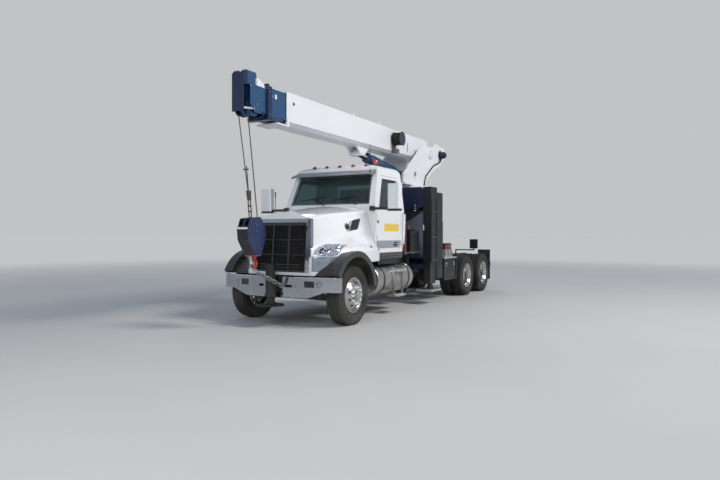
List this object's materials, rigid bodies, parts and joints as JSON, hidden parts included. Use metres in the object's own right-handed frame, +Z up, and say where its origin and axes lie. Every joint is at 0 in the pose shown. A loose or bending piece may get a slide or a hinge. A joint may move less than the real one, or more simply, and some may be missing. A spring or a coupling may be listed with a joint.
{
  "type": "boom truck",
  "caption": "Conventional tandem-axle truck tractor with a telescopic boom crane behind its cab, stored with its boom forward over the cab.",
  "frame": {"origin": "on the ground under the middle of the truck's overall length and width", "axes": "+X forward, +Y to the driver's left, +Z up"},
  "size_m": [9.76, 3.22, 4.1998],
  "materials": {
    "chassis_black": "satin black chassis paint",
    "engine_iron": "bare painted iron",
    "chrome": "polished chrome plate",
    "crane_black": "satin black paint",
    "plain_steel": "brushed bare steel",
    "white_paint": "gloss white cab paint",
    "clear_glass": "lightly tinted glass",
    "cab_trim": "dark grey trim and seat cloth",
    "mirror_shell": "gloss white moulded shell",
    "tank_aluminium": "polished aluminium",
    "box_black": "black painted box with bare edges",
    "black_rubber": "black rubber sheet",
    "lamp_red": "red lamp lens on a dark bar",
    "crane_navy": "gloss navy paint",
    "grille_dark": "dark grey mesh and bars",
    "flare_plastic": "black moulded flare",
    "lamp_lens": "clear lamp lens",
    "crane_white": "gloss white paint",
    "winch_grey": "grey painted drum",
    "reel_dark": "dark cable and reel",
    "boom_navy": "gloss navy paint",
    "wire_rope": "greased wire rope",
    "rod_chrome": "chromed rod",
    "cast_dark": "greased cast plate",
    "tyre": "black tyre rubber",
    "wheel_aluminium": "polished forged wheel"
  },
  "bodies": {
    "root": {"frame": "chassis_black", "front_axle": "chassis_black", "drive_axles": "chassis_black", "engine_block": "engine_iron", "bumper": "chrome", "front_jack": "crane_black", "tie_chain": "plain_steel", "cab_body": "white_paint", "cab_roof": "white_paint", "cab_glass": "clear_glass", "visor": "plain_steel", "cab_interior": "cab_trim", "mirrors": "mirror_shell", "fuel_tanks": "tank_aluminium", "tool_boxes": "box_black", "mud_guards": "black_rubber", "tail_lamps": "lamp_red", "pedestal": "crane_navy", "side_tanks": "crane_black"},
    "hood": {"hood": "white_paint", "grille": "grille_dark", "grille_surround": "chrome", "flares": "flare_plastic", "headlamps": "lamp_lens"},
    "knuckle_l": {"knuckle_l": "chassis_black"},
    "knuckle_r": {"knuckle_r": "chassis_black"},
    "front_wheel_l": {"front_wheel_l": "wheel_aluminium", "front_tyre_l": "tyre"},
    "front_wheel_r": {"front_wheel_r": "wheel_aluminium", "front_tyre_r": "tyre"},
    "drive_wheels_1l": {"drive_wheels_1l": "wheel_aluminium", "drive_tyres_1l": "tyre"},
    "drive_wheels_1r": {"drive_wheels_1r": "wheel_aluminium", "drive_tyres_1r": "tyre"},
    "drive_wheels_2l": {"drive_wheels_2l": "wheel_aluminium", "drive_tyres_2l": "tyre"},
    "drive_wheels_2r": {"drive_wheels_2r": "wheel_aluminium", "drive_tyres_2r": "tyre"},
    "door_l": {"door_l": "white_paint", "door_glass_l": "clear_glass"},
    "door_r": {"door_r": "white_paint", "door_glass_r": "clear_glass"},
    "turret": {"turret": "crane_white"},
    "winch_drum": {"winch_drum": "winch_grey"},
    "boom_base": {"boom_base": "crane_white", "cable_reel": "reel_dark"},
    "boom_mid": {"boom_mid": "boom_navy"},
    "boom_tip": {"boom_tip": "boom_navy"},
    "hook_block": {"hoist_lines": "wire_rope", "hook_block": "boom_navy"},
    "lift_barrel": {"lift_barrel": "crane_navy"},
    "lift_rod": {"lift_rod": "rod_chrome"},
    "outrigger_leg_l": {"outrigger_leg_l": "crane_black"},
    "outrigger_inner_l": {"outrigger_inner_l": "crane_black"},
    "outrigger_float_l": {"outrigger_float_l": "crane_black"},
    "outrigger_leg_r": {"outrigger_leg_r": "crane_black"},
    "outrigger_inner_r": {"outrigger_inner_r": "crane_black"},
    "outrigger_float_r": {"outrigger_float_r": "crane_black"},
    "jack_leg": {"jack_leg": "crane_black"},
    "fifth_wheel": {"fifth_wheel": "cast_dark"}
  },
  "joints": [
    {"name": "steer_l", "type": "hinge", "parent": "root", "child": "knuckle_l", "pos_m": [3.18, 0.93, 0.522], "axis": [0, 0, 1], "range_deg": [-35, 35]},
    {"name": "front_wheel_l_turn", "type": "hinge", "parent": "knuckle_l", "child": "front_wheel_l", "pos_m": [3.18, 1.035, 0.522], "axis": [0, 1, 0], "continuous": true},
    {"name": "drive_wheels_1l_turn", "type": "hinge", "parent": "root", "child": "drive_wheels_1l", "pos_m": [-2.71, 0.912, 0.522], "axis": [0, 1, 0], "continuous": true},
    {"name": "drive_wheels_2l_turn", "type": "hinge", "parent": "root", "child": "drive_wheels_2l", "pos_m": [-4.06, 0.912, 0.522], "axis": [0, 1, 0], "continuous": true},
    {"name": "door_l_swing", "type": "hinge", "parent": "root", "child": "door_l", "pos_m": [2.108, 1.062, 1.6], "axis": [0, 0, -1], "range_deg": [0, 70]},
    {"name": "outrigger_l_swing", "type": "hinge", "parent": "root", "child": "outrigger_leg_l", "pos_m": [-0.42, 0.93, 2.52], "axis": [1, 0, 0], "range_deg": [0, 34]},
    {"name": "outrigger_l_slide", "type": "slide", "parent": "outrigger_leg_l", "child": "outrigger_inner_l", "axis": [0, 0, -1], "range_m": [0, 0.9]},
    {"name": "outrigger_l_float", "type": "hinge", "parent": "outrigger_inner_l", "child": "outrigger_float_l", "pos_m": [-0.42, 1.1, 0.4], "axis": [1, 0, 0], "range_deg": [-34, 0]},
    {"name": "steer_r", "type": "hinge", "parent": "root", "child": "knuckle_r", "pos_m": [3.18, -0.93, 0.522], "axis": [0, 0, 1], "range_deg": [-35, 35]},
    {"name": "front_wheel_r_turn", "type": "hinge", "parent": "knuckle_r", "child": "front_wheel_r", "pos_m": [3.18, -1.035, 0.522], "axis": [0, 1, 0], "continuous": true},
    {"name": "drive_wheels_1r_turn", "type": "hinge", "parent": "root", "child": "drive_wheels_1r", "pos_m": [-2.71, -0.912, 0.522], "axis": [0, 1, 0], "continuous": true},
    {"name": "drive_wheels_2r_turn", "type": "hinge", "parent": "root", "child": "drive_wheels_2r", "pos_m": [-4.06, -0.912, 0.522], "axis": [0, 1, 0], "continuous": true},
    {"name": "door_r_swing", "type": "hinge", "parent": "root", "child": "door_r", "pos_m": [2.108, -1.062, 1.6], "axis": [0, 0, 1], "range_deg": [0, 70]},
    {"name": "outrigger_r_swing", "type": "hinge", "parent": "root", "child": "outrigger_leg_r", "pos_m": [-0.42, -0.93, 2.52], "axis": [-1, 0, 0], "range_deg": [0, 34]},
    {"name": "outrigger_r_slide", "type": "slide", "parent": "outrigger_leg_r", "child": "outrigger_inner_r", "axis": [0, 0, -1], "range_m": [0, 0.9]},
    {"name": "outrigger_r_float", "type": "hinge", "parent": "outrigger_inner_r", "child": "outrigger_float_r", "pos_m": [-0.42, -1.1, 0.4], "axis": [-1, 0, 0], "range_deg": [-34, 0]},
    {"name": "hood_tilt", "type": "hinge", "parent": "root", "child": "hood", "pos_m": [3.755, 0, 0.895], "axis": [0, 1, 0], "range_deg": [0, 35]},
    {"name": "turret_slew", "type": "hinge", "parent": "root", "child": "turret", "pos_m": [-1.1, 0, 2.75], "axis": [0, 0, 1], "continuous": true},
    {"name": "winch_turn", "type": "hinge", "parent": "turret", "child": "winch_drum", "pos_m": [-2.72, 0, 3.69], "axis": [0, 1, 0], "continuous": true},
    {"name": "boom_luff", "type": "hinge", "parent": "turret", "child": "boom_base", "pos_m": [-2.02, 0, 3.64], "axis": [0, -1, 0], "range_deg": [0, 76]},
    {"name": "boom_mid_slide", "type": "slide", "parent": "boom_base", "child": "boom_mid", "axis": [1, 0, 0], "range_m": [0, 4.2]},
    {"name": "boom_tip_slide", "type": "slide", "parent": "boom_mid", "child": "boom_tip", "axis": [1, 0, 0], "range_m": [0, 4.2]},
    {"name": "hook_block_hang", "type": "hinge", "parent": "boom_tip", "child": "hook_block", "pos_m": [4.63, 0, 3.64], "axis": [0, -1, 0], "range_deg": [-69.6, 0]},
    {"name": "lift_barrel_swing", "type": "hinge", "parent": "turret", "child": "lift_barrel", "pos_m": [-1.07, 0, 3.05], "axis": [0, -1, 0], "range_deg": [0, 80.85]},
    {"name": "lift_rod_slide", "type": "slide", "parent": "lift_barrel", "child": "lift_rod", "axis": [0.9906, 0, 0.1368], "range_m": [0, 1.3588]},
    {"name": "front_jack_slide", "type": "slide", "parent": "root", "child": "jack_leg", "axis": [0, 0, -1], "range_m": [0, 0.35]},
    {"name": "fifth_wheel_rock", "type": "hinge", "parent": "root", "child": "fifth_wheel", "pos_m": [-3.15, 0, 1.15], "axis": [0, 1, 0], "range_deg": [-12, 12]}
  ],
  "couplings": [
    {"joint": "outrigger_l_slide", "follows": "outrigger_l_swing", "m_per_rad": 1.5167},
    {"joint": "outrigger_l_float", "follows": "outrigger_l_swing", "ratio": -1},
    {"joint": "outrigger_r_slide", "follows": "outrigger_r_swing", "m_per_rad": 1.5167},
    {"joint": "outrigger_r_float", "follows": "outrigger_r_swing", "ratio": -1},
    {"joint": "steer_r", "follows": "steer_l", "ratio": 1},
    {"joint": "boom_tip_slide", "follows": "boom_mid_slide", "ratio": 1},
    {"joint": "hook_block_hang", "follows": "boom_luff", "ratio": -0.91579},
    {"joint": "lift_barrel_swing", "follows": "boom_luff", "ratio": 1.0636},
    {"joint": "lift_rod_slide", "follows": "boom_luff", "m_per_rad": 1.0236}
  ]
}
